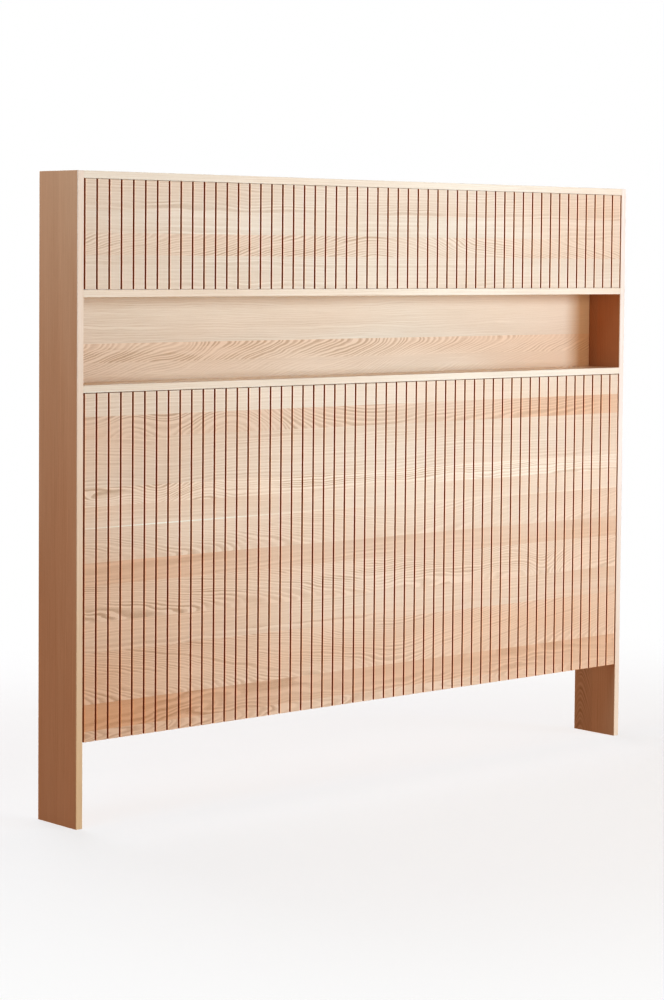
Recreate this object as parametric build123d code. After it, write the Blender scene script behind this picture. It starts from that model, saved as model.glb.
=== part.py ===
"""Bedroom headboard: two side boards that run to the floor, a top board, an open niche
between two shelves, and a grooved front panel above and below the niche.

Millimetres. X runs along the width, +Y points to the wall, +Z is up. The origin is on the
floor, in the middle of the width and of the depth.
"""

import os

from build123d import *

os.makedirs("parts", exist_ok=True)

# Overall size
overall_width = 1600.0
overall_depth = 128.0
overall_height = 1300.0

# Boards of the frame
side_thickness = 15.0
board_thickness = 15.0
panel_thickness = 15.0
rail_thickness = 15.0
upright_thickness = 15.0
lipping_thickness = 2.0

# Heights of the bays, from the floor up
floor_gap = 172.0
niche_height = 173.0
upper_bay_height = 218.0
niche_depth = 97.0
lower_panel_gap = 1.0
upper_panel_gap = 0.5

# Grooved face of the front panels
strip_count = 52
groove_width = 4.0
groove_depth = 5.0
veneer_thickness = 0.6

# Panel that closes the niche at the back
niche_back_thickness = 8.0
niche_back_end_gap = 0.5

# Hidden rails and uprights
rail_height = 80.0
lower_rail_rise = 3.0
lower_upright_depth = 60.0

# Cam fitting: a cam in the hidden face of a board and a bolt out of the side board
cam_radius = 7.5
cam_height = 12.0
cam_set_back = 24.0
cam_chamber_length = 7.0
cam_recess_depth = 2.0
cam_recess_width = 1.6
cam_recess_length = 10.0
bolt_thread_radius = 2.5
bolt_thread_length = 11.0
bolt_shank_radius = 3.5
bolt_neck_radius = 2.0
bolt_head_radius = 3.0
bolt_head_length = 3.0
bolt_bore_radius = 4.0
fitting_clearance = 0.2

# Wooden dowels
board_dowel_radius = 4.0
board_dowel_in_face = 10.0
board_dowel_in_end = 20.0
panel_dowel_radius = 3.0
panel_dowel_in_board = 9.0
panel_dowel_in_panel = 18.0
panel_dowel_count = 6
dowel_clearance = 0.05
dowel_end_clearance = 0.5

# Places of fittings, as shares of the board that carries them
cam_depth_shares = (0.26, 0.76)
dowel_depth_share = 0.51
rail_cam_share = 0.3
rail_dowel_share = 0.7
upright_dowel_shares = (0.3, 0.75)

# Countersunk wood screws
screw_head_radius = 3.5
screw_head_height = 2.2
screw_shank_radius = 1.75
screw_clearance = 0.05
screw_recess_depth = 1.4
screw_recess_length = 3.6
screw_recess_width = 0.8
back_screw_length = 25.0
back_screw_count = 8
rail_screw_length = 22.0
rail_screw_count = 5
plate_screw_length = 10.0
pan_head_height = 1.8
end_screw_share = 0.06

# Angle brackets behind the ends of the front panels
bracket_leg = 30.0
bracket_width = 20.0
bracket_thickness = 2.0
bracket_bend_radius = 1.0
bracket_hole_radius = 2.0
bracket_hole_from_end = 9.0
lower_bracket_shares = (0.32, 0.6, 0.88)
upper_bracket_share = 0.5

# Keyhole plates that hang over two screws in the wall
keyhole_spacing = 1200.0
keyhole_plate_width = 40.0
keyhole_plate_height = 46.0
keyhole_plate_thickness = 2.0
keyhole_plate_corner = 3.0
keyhole_entry_radius = 5.0
keyhole_slot_radius = 2.5
keyhole_slot_rise = 14.0
keyhole_entry_drop = 7.0
keyhole_screw_offset = 14.0
keyhole_pocket_width = 15.0
keyhole_pocket_height = 34.0
keyhole_pocket_depth = 9.0
keyhole_plate_clearance = 0.2

# One overrun for every cut that leaves a face
overrun = 1.0

# Planes that the boards line up with
front_y = -overall_depth / 2
back_y = overall_depth / 2
lipping_back_y = front_y + lipping_thickness
panel_back_y = front_y + panel_thickness
niche_back_y = front_y + niche_depth
side_inner_x = overall_width / 2 - side_thickness
inner_width = 2 * side_inner_x
top_under_z = overall_height - board_thickness
upper_shelf_top_z = top_under_z - upper_bay_height
upper_shelf_under_z = upper_shelf_top_z - board_thickness
lower_shelf_top_z = upper_shelf_under_z - niche_height
lower_shelf_under_z = lower_shelf_top_z - board_thickness
groove_pitch = (inner_width - groove_width) / strip_count
strip_width = groove_pitch - groove_width


def block(x_range, y_range, z_range):
    """Return a block between the low and high value of each range."""
    lows = (x_range[0], y_range[0], z_range[0])
    highs = (x_range[1], y_range[1], z_range[1])
    centre = [(low + high) / 2 for low, high in zip(lows, highs)]
    size = [high - low for low, high in zip(lows, highs)]
    return Pos(*centre) * Box(*size)


def rod(origin, direction, start, end, radius):
    """Return a round rod along a direction from an origin, between two distances."""
    plane = Plane(origin=origin, z_dir=direction)
    middle = (start + end) / 2
    return plane.location * Pos(0, 0, middle) * Cylinder(radius, end - start)


def turned(origin, direction, profile):
    """Return a turned piece: a profile of (distance, radius) points about an axis."""
    section = Polyline([(radius, distance) for distance, radius in profile], close=True)
    face = make_face(Plane.XZ * section)
    solid = revolve(face, Axis.Z)
    return Plane(origin=origin, z_dir=direction).location * solid


def cross_recess(length, width, depth):
    """Return the cross-shaped driver recess, cut down from z = 0."""
    height = depth + overrun
    middle = (overrun - depth) / 2
    arm = Pos(0, 0, middle) * Box(length, width, height)
    return arm + Rot(0, 0, 90) * arm


# Wood screws

def countersunk_profile(length, grow):
    """Return the outline of a countersunk screw, thicker all round by grow."""
    shank = screw_shank_radius + grow
    head = screw_head_radius + grow
    return [
        (0, 0),
        (0, head),
        (-screw_head_height, shank),
        (-length + shank, shank),
        (-length - grow, 0),
    ]


def pan_head_profile(length):
    """Return the outline of a pan head screw whose head sits on z = 0."""
    return [
        (pan_head_height, 0),
        (pan_head_height, screw_head_radius - pan_head_height / 2),
        (pan_head_height / 2, screw_head_radius),
        (0, screw_head_radius),
        (0, screw_shank_radius),
        (-length + screw_shank_radius, screw_shank_radius),
        (-length, 0),
    ]


def driver_recess(origin, direction, top):
    """Return the recess of a wood screw whose head ends at the distance top."""
    recess = cross_recess(screw_recess_length, screw_recess_width, screw_recess_depth)
    return Plane(origin=origin, z_dir=direction).location * Pos(0, 0, top) * recess


def countersunk_screw(origin, direction, length):
    """Return a screw flush with the face at origin, its head facing direction."""
    body = turned(origin, direction, countersunk_profile(length, 0))
    return body - driver_recess(origin, direction, 0)


def countersunk_hole(origin, direction, length):
    """Return the cut that such a screw needs in the boards that it joins."""
    hole = turned(origin, direction, countersunk_profile(length, screw_clearance))
    mouth = rod(origin, direction, 0, overrun, screw_head_radius + screw_clearance)
    return hole + mouth


def pan_screw(origin, direction, length):
    """Return a screw whose head sits on the face at origin."""
    body = turned(origin, direction, pan_head_profile(length))
    return body - driver_recess(origin, direction, pan_head_height)


def pan_hole(origin, direction, length):
    """Return the hole for such a screw, in the plate and in the board under it."""
    depth = length + screw_clearance
    return rod(origin, direction, -depth, overrun, screw_shank_radius + screw_clearance)


# Cam fittings and dowels, placed in the frame of one end of a board. The frame's X runs
# into the board from the side board's inner face, and its Z points to the hidden face.

def end_frame(side, y, z, hidden):
    """Return the frame of a fitting at the left (-1) or right (+1) end of a board."""
    return Plane(origin=(side * side_inner_x, y, z), x_dir=(-side, 0, 0), z_dir=hidden).location


def cam_bolt(frame):
    """Return the bolt: threaded into the side board, its head inside the cam."""
    neck_start = cam_set_back - cam_radius - fitting_clearance
    neck_end = cam_set_back - cam_chamber_length / 2 + fitting_clearance
    head_end = neck_end + bolt_head_length
    profile = [
        (-bolt_thread_length, 0),
        (-bolt_thread_length, bolt_thread_radius),
        (0, bolt_thread_radius),
        (0, bolt_shank_radius),
        (neck_start, bolt_shank_radius),
        (neck_start, bolt_neck_radius),
        (neck_end, bolt_neck_radius),
        (neck_end, bolt_head_radius),
        (head_end, bolt_head_radius),
        (head_end, 0),
    ]
    return frame * turned((0, 0, 0), (1, 0, 0), profile)


def cam_lock(frame, thickness):
    """Return the cam: a drum with a chamber for the bolt's head and a cross recess."""
    top = thickness / 2
    drum = Pos(cam_set_back, 0, top - cam_height / 2) * Cylinder(cam_radius, cam_height)
    chamber_width = 2 * (bolt_head_radius + fitting_clearance)
    chamber = Pos(cam_set_back, 0, 0) * Box(cam_chamber_length, chamber_width, chamber_width)
    channel_length = cam_radius + overrun
    channel_width = 2 * (bolt_neck_radius + fitting_clearance)
    channel_middle = cam_set_back - channel_length / 2
    channel = Pos(channel_middle, 0, 0) * Box(channel_length, channel_width, channel_width)
    recess = cross_recess(cam_recess_length, cam_recess_width, cam_recess_depth)
    return frame * (drum - chamber - channel - Pos(cam_set_back, 0, top) * recess)


def cam_board_cut(frame, thickness):
    """Return the cut of a cam fitting in the board: the drum's pocket and the bolt's bore."""
    top = thickness / 2
    low = top - cam_height - fitting_clearance
    high = top + overrun
    middle = (low + high) / 2
    pocket = Pos(cam_set_back, 0, middle) * Cylinder(cam_radius + fitting_clearance, high - low)
    bore = rod((0, 0, 0), (1, 0, 0), -overrun, cam_set_back, bolt_bore_radius)
    return frame * (pocket + bore)


def cam_side_cut(frame):
    """Return the hole that the bolt's thread fills in the side board."""
    depth = bolt_thread_length + fitting_clearance
    radius = bolt_thread_radius + screw_clearance
    return frame * rod((0, 0, 0), (1, 0, 0), -depth, overrun, radius)


def dowel(origin, direction, below, above, radius):
    """Return a dowel across a joint at origin, and the one cut that both boards take."""
    pin = rod(origin, direction, -below, above, radius)
    low = -below - dowel_end_clearance
    high = above + dowel_end_clearance
    return pin, rod(origin, direction, low, high, radius + dowel_clearance)


class Joinery:
    """Collects the fittings, and the cuts that each board takes for them."""

    def __init__(self):
        self.bolts = []
        self.cams = []
        self.board_dowels = []
        self.panel_dowels = []
        self.cuts = {}

    def cut(self, node, tool):
        """Note a cut for a board."""
        self.cuts.setdefault(node, []).append(tool)

    def cam(self, node, side, y, z, hidden, thickness):
        """Join one end of a board to its side board with a cam fitting."""
        frame = end_frame(side, y, z, hidden)
        self.bolts.append(cam_bolt(frame))
        self.cams.append(cam_lock(frame, thickness))
        self.cut(node, cam_board_cut(frame, thickness))
        self.cut(side_name(side), cam_side_cut(frame))

    def end_dowel(self, node, side, y, z):
        """Join one end of a board to its side board with a dowel."""
        origin = (side * side_inner_x, y, z)
        direction = (-side, 0, 0)
        pin, hole = dowel(
            origin, direction, board_dowel_in_face, board_dowel_in_end, board_dowel_radius
        )
        self.board_dowels.append(pin)
        self.cut(node, hole)
        self.cut(side_name(side), hole)

    def face_dowel(self, face_node, end_node, x, y, z, direction):
        """Join the end of one board to the face of another with a dowel."""
        pin, hole = dowel(
            (x, y, z), direction, board_dowel_in_face, board_dowel_in_end, board_dowel_radius
        )
        self.board_dowels.append(pin)
        self.cut(face_node, hole)
        self.cut(end_node, hole)

    def panel_dowel(self, board_node, panel_node, x, z, direction, gap):
        """Join a front panel's edge to a board across the gap between them."""
        y = (front_y + groove_depth + panel_back_y) / 2
        into_panel = panel_dowel_in_panel + gap
        pin, hole = dowel(
            (x, y, z), direction, panel_dowel_in_board, into_panel, panel_dowel_radius
        )
        self.panel_dowels.append(pin)
        self.cut(board_node, hole)
        self.cut(panel_node, hole)

    def apply(self, node, board):
        """Return the board with all its cuts made."""
        for tool in self.cuts.get(node, []):
            board = board - tool
        return board


def side_name(side):
    """Return the node name of the left (-1) or right (+1) side board."""
    return "side_panel_left" if side < 0 else "side_panel_right"


def spread(low, high, count, end_share):
    """Return evenly spread places, the outer ones a share of the length from the ends."""
    margin = (high - low) * end_share
    step = (high - low - 2 * margin) / (count - 1)
    return [low + margin + step * i for i in range(count)]


def strip_start(index):
    """Return the left edge of a strip of the grooved face, counted from the left."""
    return -side_inner_x + groove_width + groove_pitch * index


def strip_centre(index):
    """Return the middle of a strip of the grooved face."""
    return strip_start(index) + strip_width / 2


# Boards that show

def side_board(side):
    """Return a side board, from the floor to the top, without its front lipping."""
    x_range = sorted((side * side_inner_x, side * overall_width / 2))
    return block(x_range, (lipping_back_y, back_y), (0, overall_height))


def side_lipping(side):
    """Return the solid strip on the front edge of a side board."""
    x_range = sorted((side * side_inner_x, side * overall_width / 2))
    return block(x_range, (front_y, lipping_back_y), (0, overall_height))


def cross_board(depth, under_z):
    """Return a board between the side boards, without its front lipping."""
    y_range = (lipping_back_y, front_y + depth)
    return block((-side_inner_x, side_inner_x), y_range, (under_z, under_z + board_thickness))


def cross_lipping(under_z):
    """Return the solid strip on the front edge of a board between the side boards."""
    y_range = (front_y, lipping_back_y)
    return block((-side_inner_x, side_inner_x), y_range, (under_z, under_z + board_thickness))


def panel_core(z_range):
    """Return a front panel's fibreboard, grooved, and stepped back at both ends."""
    core_front = front_y + veneer_thickness
    core = block((-side_inner_x, side_inner_x), (core_front, panel_back_y), z_range)
    cut_y = (front_y, front_y + groove_depth)
    cut_z = (z_range[0] - overrun, z_range[1] + overrun)
    first = strip_start(0) - groove_width
    grooves = []
    for index in range(strip_count + 1):
        low = first + groove_pitch * index
        x_low = low - overrun if index == 0 else low
        x_high = low + groove_width
        if index == strip_count:
            x_high += overrun
        grooves.append(block((x_low, x_high), cut_y, cut_z))
    return core - grooves


def face_strips(z_range):
    """Return the veneer strips that the grooves leave on a front panel."""
    y_range = (front_y, front_y + veneer_thickness)
    strips = []
    for index in range(strip_count):
        low = strip_start(index)
        strips.append(block((low, low + strip_width), y_range, z_range))
    return strips


# Hardware at the back

def angle_bracket(side, z):
    """Return an angle bracket in the corner of a side board and a panel's back."""
    outline = Polyline(
        [
            (0, 0),
            (bracket_leg, 0),
            (bracket_leg, bracket_thickness),
            (bracket_thickness, bracket_thickness),
            (bracket_thickness, bracket_leg),
            (0, bracket_leg),
        ],
        close=True,
    )
    plate = extrude(make_face(outline), bracket_width / 2, both=True)
    inner = plate.edges().filter_by(Axis.Z).filter_by(
        lambda edge: abs(edge.center().X - bracket_thickness) < bracket_thickness / 4
        and abs(edge.center().Y - bracket_thickness) < bracket_thickness / 4
    )
    plate = fillet(inner, bracket_bend_radius)
    far = bracket_leg - bracket_hole_from_end
    plate = plate - rod((far, 0, 0), (0, 1, 0), -overrun, bracket_leg, bracket_hole_radius)
    plate = plate - rod((0, far, 0), (1, 0, 0), -overrun, bracket_leg, bracket_hole_radius)
    corner = (side * side_inner_x, panel_back_y, z)
    return Plane(origin=corner, x_dir=(-side, 0, 0), z_dir=(0, 0, -side)).location * plate


def bracket_screw_places(side, z):
    """Return the origin and direction of both screws of an angle bracket."""
    far = bracket_leg - bracket_hole_from_end
    on_panel = (side * (side_inner_x - far), panel_back_y + bracket_thickness, z)
    on_side = (side * (side_inner_x - bracket_thickness), panel_back_y + far, z)
    return (on_panel, (0, 1, 0)), (on_side, (-side, 0, 0))


def keyhole_plate(x, z):
    """Return a keyhole plate let in flush with the rear face of the upper rail."""
    frame = Plane(origin=(x, back_y, z), x_dir=(-1, 0, 0), z_dir=(0, 1, 0)).location
    sheet = RectangleRounded(keyhole_plate_width, keyhole_plate_height, keyhole_plate_corner)
    entry = Pos(0, -keyhole_entry_drop) * Circle(keyhole_entry_radius)
    slot_top = keyhole_slot_rise - keyhole_entry_drop
    slot_middle = (slot_top - keyhole_entry_drop) / 2
    slot = Pos(0, slot_middle) * Rectangle(2 * keyhole_slot_radius, keyhole_slot_rise)
    slot_end = Pos(0, slot_top) * Circle(keyhole_slot_radius)
    outline = sheet - entry - slot - slot_end
    plate = extrude(outline, -keyhole_plate_thickness)
    for origin, direction in keyhole_screw_places(x, z):
        hole = countersunk_hole(origin, direction, plate_screw_length)
        plate = plate - frame.inverse() * hole
    return frame * plate


def keyhole_screw_places(x, z):
    """Return the origin and direction of both screws of a keyhole plate."""
    offsets = (-keyhole_screw_offset, keyhole_screw_offset)
    return [((x + offset, back_y, z), (0, 1, 0)) for offset in offsets]


def keyhole_pocket(x, z):
    """Return the cut in the upper rail for a plate and for the heads of the wall screws."""
    half_width = keyhole_plate_width / 2 + keyhole_plate_clearance
    half_height = keyhole_plate_height / 2 + keyhole_plate_clearance
    seat_y = back_y - keyhole_plate_thickness
    seat = block(
        (x - half_width, x + half_width),
        (seat_y, back_y + overrun),
        (z - half_height, z + half_height),
    )
    pocket_half_width = keyhole_pocket_width / 2
    pocket_half_height = keyhole_pocket_height / 2
    pocket = block(
        (x - pocket_half_width, x + pocket_half_width),
        (seat_y - keyhole_pocket_depth, back_y),
        (z - pocket_half_height, z + pocket_half_height),
    )
    return seat + pocket


# Places of the hidden boards

top_depth = overall_depth
upper_rail_z = (top_under_z - rail_height, top_under_z)
upper_rail_y = (back_y - rail_thickness, back_y)
lower_rail_low_z = floor_gap + lower_rail_rise
lower_rail_z = (lower_rail_low_z, lower_rail_low_z + rail_height)
lower_rail_y = (panel_back_y, panel_back_y + rail_thickness)
upper_upright_y = (panel_back_y, upper_rail_y[0])
lower_upright_y = (panel_back_y, panel_back_y + lower_upright_depth)
upper_panel_z = (upper_shelf_top_z + upper_panel_gap, top_under_z - upper_panel_gap)
lower_panel_z = (floor_gap, lower_shelf_under_z - lower_panel_gap)
keyhole_z = (upper_rail_z[0] + upper_rail_z[1]) / 2

joinery = Joinery()

# Cam fittings and dowels at the ends of the boards and rails
for side in (-1, 1):
    for node, depth, under_z, hidden in (
        ("top_board", top_depth, top_under_z, (0, 0, -1)),
        ("upper_shelf", niche_depth, upper_shelf_under_z, (0, 0, 1)),
        ("lower_shelf", niche_depth, lower_shelf_under_z, (0, 0, -1)),
    ):
        middle_z = under_z + board_thickness / 2
        for share in cam_depth_shares:
            joinery.cam(node, side, front_y + depth * share, middle_z, hidden, board_thickness)
        joinery.end_dowel(node, side, front_y + depth * dowel_depth_share, middle_z)
    for node, y_range, z_range, hidden in (
        ("upper_rear_rail", upper_rail_y, upper_rail_z, (0, -1, 0)),
        ("lower_rail", lower_rail_y, lower_rail_z, (0, 1, 0)),
    ):
        middle_y = (y_range[0] + y_range[1]) / 2
        cam_z = z_range[0] + rail_height * rail_cam_share
        dowel_z = z_range[0] + rail_height * rail_dowel_share
        joinery.cam(node, side, middle_y, cam_z, hidden, rail_thickness)
        joinery.end_dowel(node, side, middle_y, dowel_z)

# Dowels at the ends of the two centre uprights
for share in upright_dowel_shares:
    upper_y = panel_back_y + (niche_back_y - panel_back_y) * share
    joinery.face_dowel("top_board", "upper_centre_upright", 0, upper_y, top_under_z, (0, 0, -1))
    joinery.face_dowel("upper_shelf", "upper_centre_upright", 0, upper_y, upper_shelf_top_z, (0, 0, 1))
    lower_y = lower_upright_y[0] + lower_upright_depth * share
    joinery.face_dowel("lower_shelf", "lower_centre_upright", 0, lower_y, lower_shelf_under_z, (0, 0, -1))
joinery.face_dowel(
    "lower_rail",
    "lower_centre_upright",
    0,
    (lower_rail_y[0] + lower_rail_y[1]) / 2,
    lower_rail_z[1],
    (0, 0, 1),
)

# Dowels along the edges of the front panels, each in the middle of a strip
for number in range(panel_dowel_count):
    strip_index = int(strip_count * (number + 0.5) / panel_dowel_count)
    x = strip_centre(strip_index)
    joinery.panel_dowel("top_board", "upper_front_panel", x, top_under_z, (0, 0, -1), upper_panel_gap)
    joinery.panel_dowel("upper_shelf", "upper_front_panel", x, upper_shelf_top_z, (0, 0, 1), upper_panel_gap)
    joinery.panel_dowel("lower_shelf", "lower_front_panel", x, lower_shelf_under_z, (0, 0, -1), lower_panel_gap)

# Screws that hold the niche back to the rear edges of both shelves
back_screws = []
niche_back_face_y = niche_back_y + niche_back_thickness
for x in spread(-side_inner_x, side_inner_x, back_screw_count, end_screw_share):
    for node, under_z in (("upper_shelf", upper_shelf_under_z), ("lower_shelf", lower_shelf_under_z)):
        place = (x, niche_back_face_y, under_z + board_thickness / 2)
        back_screws.append(countersunk_screw(place, (0, 1, 0), back_screw_length))
        hole = countersunk_hole(place, (0, 1, 0), back_screw_length)
        joinery.cut(node, hole)
        joinery.cut("niche_back_panel", hole)

# Screws that hold the lower panel to its rail, each behind the middle of a strip
rail_screws = []
for x in spread(-side_inner_x, side_inner_x, rail_screw_count, end_screw_share):
    strip_index = int((x + side_inner_x) / groove_pitch)
    place = (strip_centre(strip_index), lower_rail_y[1], (lower_rail_z[0] + lower_rail_z[1]) / 2)
    rail_screws.append(countersunk_screw(place, (0, 1, 0), rail_screw_length))
    hole = countersunk_hole(place, (0, 1, 0), rail_screw_length)
    joinery.cut("lower_rail", hole)
    joinery.cut("lower_front_panel", hole)

# Angle brackets at the ends of the front panels, with their screws
brackets = []
bracket_screws = []
lower_panel_height = lower_panel_z[1] - lower_panel_z[0]
upper_panel_height = upper_panel_z[1] - upper_panel_z[0]
bracket_places = [("upper_front_panel", upper_panel_z[0] + upper_panel_height * upper_bracket_share)]
for share in lower_bracket_shares:
    bracket_places.append(("lower_front_panel", lower_panel_z[0] + lower_panel_height * share))
for side in (-1, 1):
    for panel_node, z in bracket_places:
        brackets.append(angle_bracket(side, z))
        carriers = (panel_node, side_name(side))
        for node, (origin, direction) in zip(carriers, bracket_screw_places(side, z)):
            bracket_screws.append(pan_screw(origin, direction, plate_screw_length))
            joinery.cut(node, pan_hole(origin, direction, plate_screw_length))

# Keyhole plates in the rear face of the upper rail, with their screws
keyhole_plates = []
keyhole_screws = []
for x in (-keyhole_spacing / 2, keyhole_spacing / 2):
    keyhole_plates.append(keyhole_plate(x, keyhole_z))
    joinery.cut("upper_rear_rail", keyhole_pocket(x, keyhole_z))
    for origin, direction in keyhole_screw_places(x, keyhole_z):
        keyhole_screws.append(countersunk_screw(origin, direction, plate_screw_length))
        joinery.cut("upper_rear_rail", countersunk_hole(origin, direction, plate_screw_length))

# Every board, before its cuts
boards = {
    "side_panel_left": side_board(-1),
    "side_panel_right": side_board(1),
    "top_board": cross_board(top_depth, top_under_z),
    "upper_shelf": cross_board(niche_depth, upper_shelf_under_z),
    "lower_shelf": cross_board(niche_depth, lower_shelf_under_z),
    "niche_back_panel": block(
        (-side_inner_x + niche_back_end_gap, side_inner_x - niche_back_end_gap),
        (niche_back_y, niche_back_face_y),
        (lower_shelf_under_z, upper_shelf_top_z),
    ),
    "upper_front_panel": panel_core(upper_panel_z),
    "lower_front_panel": panel_core(lower_panel_z),
    "upper_rear_rail": block((-side_inner_x, side_inner_x), upper_rail_y, upper_rail_z),
    "lower_rail": block((-side_inner_x, side_inner_x), lower_rail_y, lower_rail_z),
    "upper_centre_upright": block(
        (-upright_thickness / 2, upright_thickness / 2),
        upper_upright_y,
        (upper_shelf_top_z, top_under_z),
    ),
    "lower_centre_upright": block(
        (-upright_thickness / 2, upright_thickness / 2),
        lower_upright_y,
        (lower_rail_z[1], lower_shelf_under_z),
    ),
}

# Pieces that come as they are, and groups of like pieces
pieces = {
    "side_lipping_left": [side_lipping(-1)],
    "side_lipping_right": [side_lipping(1)],
    "top_board_lipping": [cross_lipping(top_under_z)],
    "upper_shelf_lipping": [cross_lipping(upper_shelf_under_z)],
    "lower_shelf_lipping": [cross_lipping(lower_shelf_under_z)],
    "upper_face_strips": face_strips(upper_panel_z),
    "lower_face_strips": face_strips(lower_panel_z),
    "cam_locks": joinery.cams,
    "cam_bolts": joinery.bolts,
    "board_dowels": joinery.board_dowels,
    "panel_dowels": joinery.panel_dowels,
    "back_panel_screws": back_screws,
    "rail_screws": rail_screws,
    "angle_brackets": brackets,
    "bracket_screws": bracket_screws,
    "keyhole_plates": keyhole_plates,
    "keyhole_plate_screws": keyhole_screws,
}

for node, board in boards.items():
    export_step(joinery.apply(node, board), f"parts/{node}.step")

for node, members in pieces.items():
    solids = [solid for member in members for solid in member.solids()]
    export_step(Compound(children=solids), f"parts/{node}.step")
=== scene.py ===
"""Looks of an ash headboard: grooved front panels, an open niche and two side boards that
run down to the floor.

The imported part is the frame. The face veneers, the side boards and the edge lippings are new
meshes with broken edges and staves of their own; the other boards, the rails and the fittings
keep their CAD meshes and get finishes. Meshes are in metres, figures in the wood in
millimetres. X runs along the width, +Y points to the wall, +Z is up.
"""

from __future__ import annotations

import logging
import math
from collections.abc import Iterable
from dataclasses import dataclass, field, replace
from enum import Enum
from functools import partial, reduce

import bpy
import numpy as np
from mathutils import Matrix, Vector

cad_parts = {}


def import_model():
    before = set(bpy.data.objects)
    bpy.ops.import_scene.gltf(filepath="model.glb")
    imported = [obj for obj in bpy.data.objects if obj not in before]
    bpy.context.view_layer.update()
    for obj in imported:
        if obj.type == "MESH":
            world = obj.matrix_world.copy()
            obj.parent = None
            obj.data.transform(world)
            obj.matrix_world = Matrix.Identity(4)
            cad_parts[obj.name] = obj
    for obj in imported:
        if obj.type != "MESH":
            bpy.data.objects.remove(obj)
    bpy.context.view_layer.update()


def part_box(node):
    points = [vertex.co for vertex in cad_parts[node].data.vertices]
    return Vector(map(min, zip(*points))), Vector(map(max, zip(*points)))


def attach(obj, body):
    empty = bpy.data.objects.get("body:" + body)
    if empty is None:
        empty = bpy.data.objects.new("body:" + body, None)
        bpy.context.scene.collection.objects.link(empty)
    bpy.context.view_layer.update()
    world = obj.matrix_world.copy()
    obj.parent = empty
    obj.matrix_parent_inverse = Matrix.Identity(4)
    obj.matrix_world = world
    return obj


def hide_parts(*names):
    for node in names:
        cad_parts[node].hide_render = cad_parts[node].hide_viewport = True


log = logging.getLogger("headboard")

MM = 0.001

# Facts of a stave, each of three numbers, as a mesh's faces and the ash's materials hold them
FACT_NAMES = ("heart", "rings", "tone", "eye", "trunk", "first_dome", "second_dome")

# Lengths in the ash's figure, in mm: how softly rings turn at a trunk's crest, how far from the
# object's middle its painted light and shade change, and how far an eye's bulge spreads along
# and across the grain
CREST_REACH = 90.0
END_REACH = 700.0
EYE_LENGTH = 70.0
EYE_WIDTH = 12.0

# Where the points of a broken end lie along the piece and how far each is drawn in, as shares
# of its radius
END_STEPS = np.array((0.0, 0.3, 1.0))
END_INSETS = np.array((0.7, 0.3, 0.0))

Socket = bpy.types.NodeSocket
Colour = tuple[float, float, float]
Triple = tuple[float, float, float]
Point = tuple[Socket, Socket, Socket]


class Lay(Enum):
    """How the wood lies: the axes along the grain, across it in the face, and into the wood."""

    FRONT_LEVEL = (0, 2, 1)
    SIDE_UPRIGHT = (2, 1, 0)
    TOP_LEVEL = (0, 1, 2)
    FRONT_UPRIGHT = (2, 0, 1)


class Facts(Enum):
    """Where a finish finds the facts of a stave: on the mesh's faces or by the place itself."""

    ON_FACES = "on_faces"
    BY_PLACE = "by_place"


@dataclass(frozen=True)
class Eye:
    """A spot where the year rings bulge into loops, and a warmer, darker patch about it along the
    grain that is partly the wood's own tone and partly painted warm shade.

    Attributes:
        along: Place along the grain, in mm.
        across: Place across the grain, as a share of the stave.
        pull: How far the rings are pushed there, in mm.
        glow: How much warmer the wood is around that place along the grain, partly as painted
        warm shade.
        reach: How far that warmth spreads along the grain, in mm.
    """

    along: float = 0.0
    across: float = 0.5
    pull: float = 0.0
    glow: float = 0.0
    reach: float = 230.0


@dataclass(frozen=True)
class Dome:
    """A place where the year rings rise in a smooth wave.

    Attributes:
        along: Place along the grain, in mm.
        lift: How far the rings are pushed there, in mm.
        reach: How far the wave spreads along the grain, in mm.
    """

    along: float = 0.0
    lift: float = 0.0
    reach: float = 100.0


@dataclass(frozen=True)
class Stave:
    """One stave of a veneer, cut from its own place in a trunk.

    Attributes:
        top: Where the stave starts, as a share of the face from its first edge.
        light: Lightness, 1 is the finish's own.
        warm: How far its tone goes to pink-brown, below 0 to cream.
        figure: Strength of the ring lines, 1 is the finish's own.
        heart: Place of the trunk's heart across the stave, as a share of it from its far edge.
        deep: How deep the heart lies behind the face, in mm.
        slope: How fast the trunk thins out to both sides of its crest, in mm for each mm.
        crest: Place of the crest along the grain, in mm.
        ring: Width of a year ring, in mm.
        wander: How far the rings wander along the grain, in mm.
        seed: Number that sets its noise apart from that of the other staves.
        eye: Spot where the rings bulge.
        first: A wave in the rings.
        second: Another wave in them.
    """

    top: float
    light: float = 1.0
    warm: float = 0.0
    figure: float = 1.0
    heart: float = 0.0
    deep: float = 50.0
    slope: float = 0.01
    crest: float = 0.0
    ring: float = 2.6
    wander: float = 3.0
    seed: float = 0.0
    eye: Eye = Eye()
    first: Dome = Dome()
    second: Dome = Dome()
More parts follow.
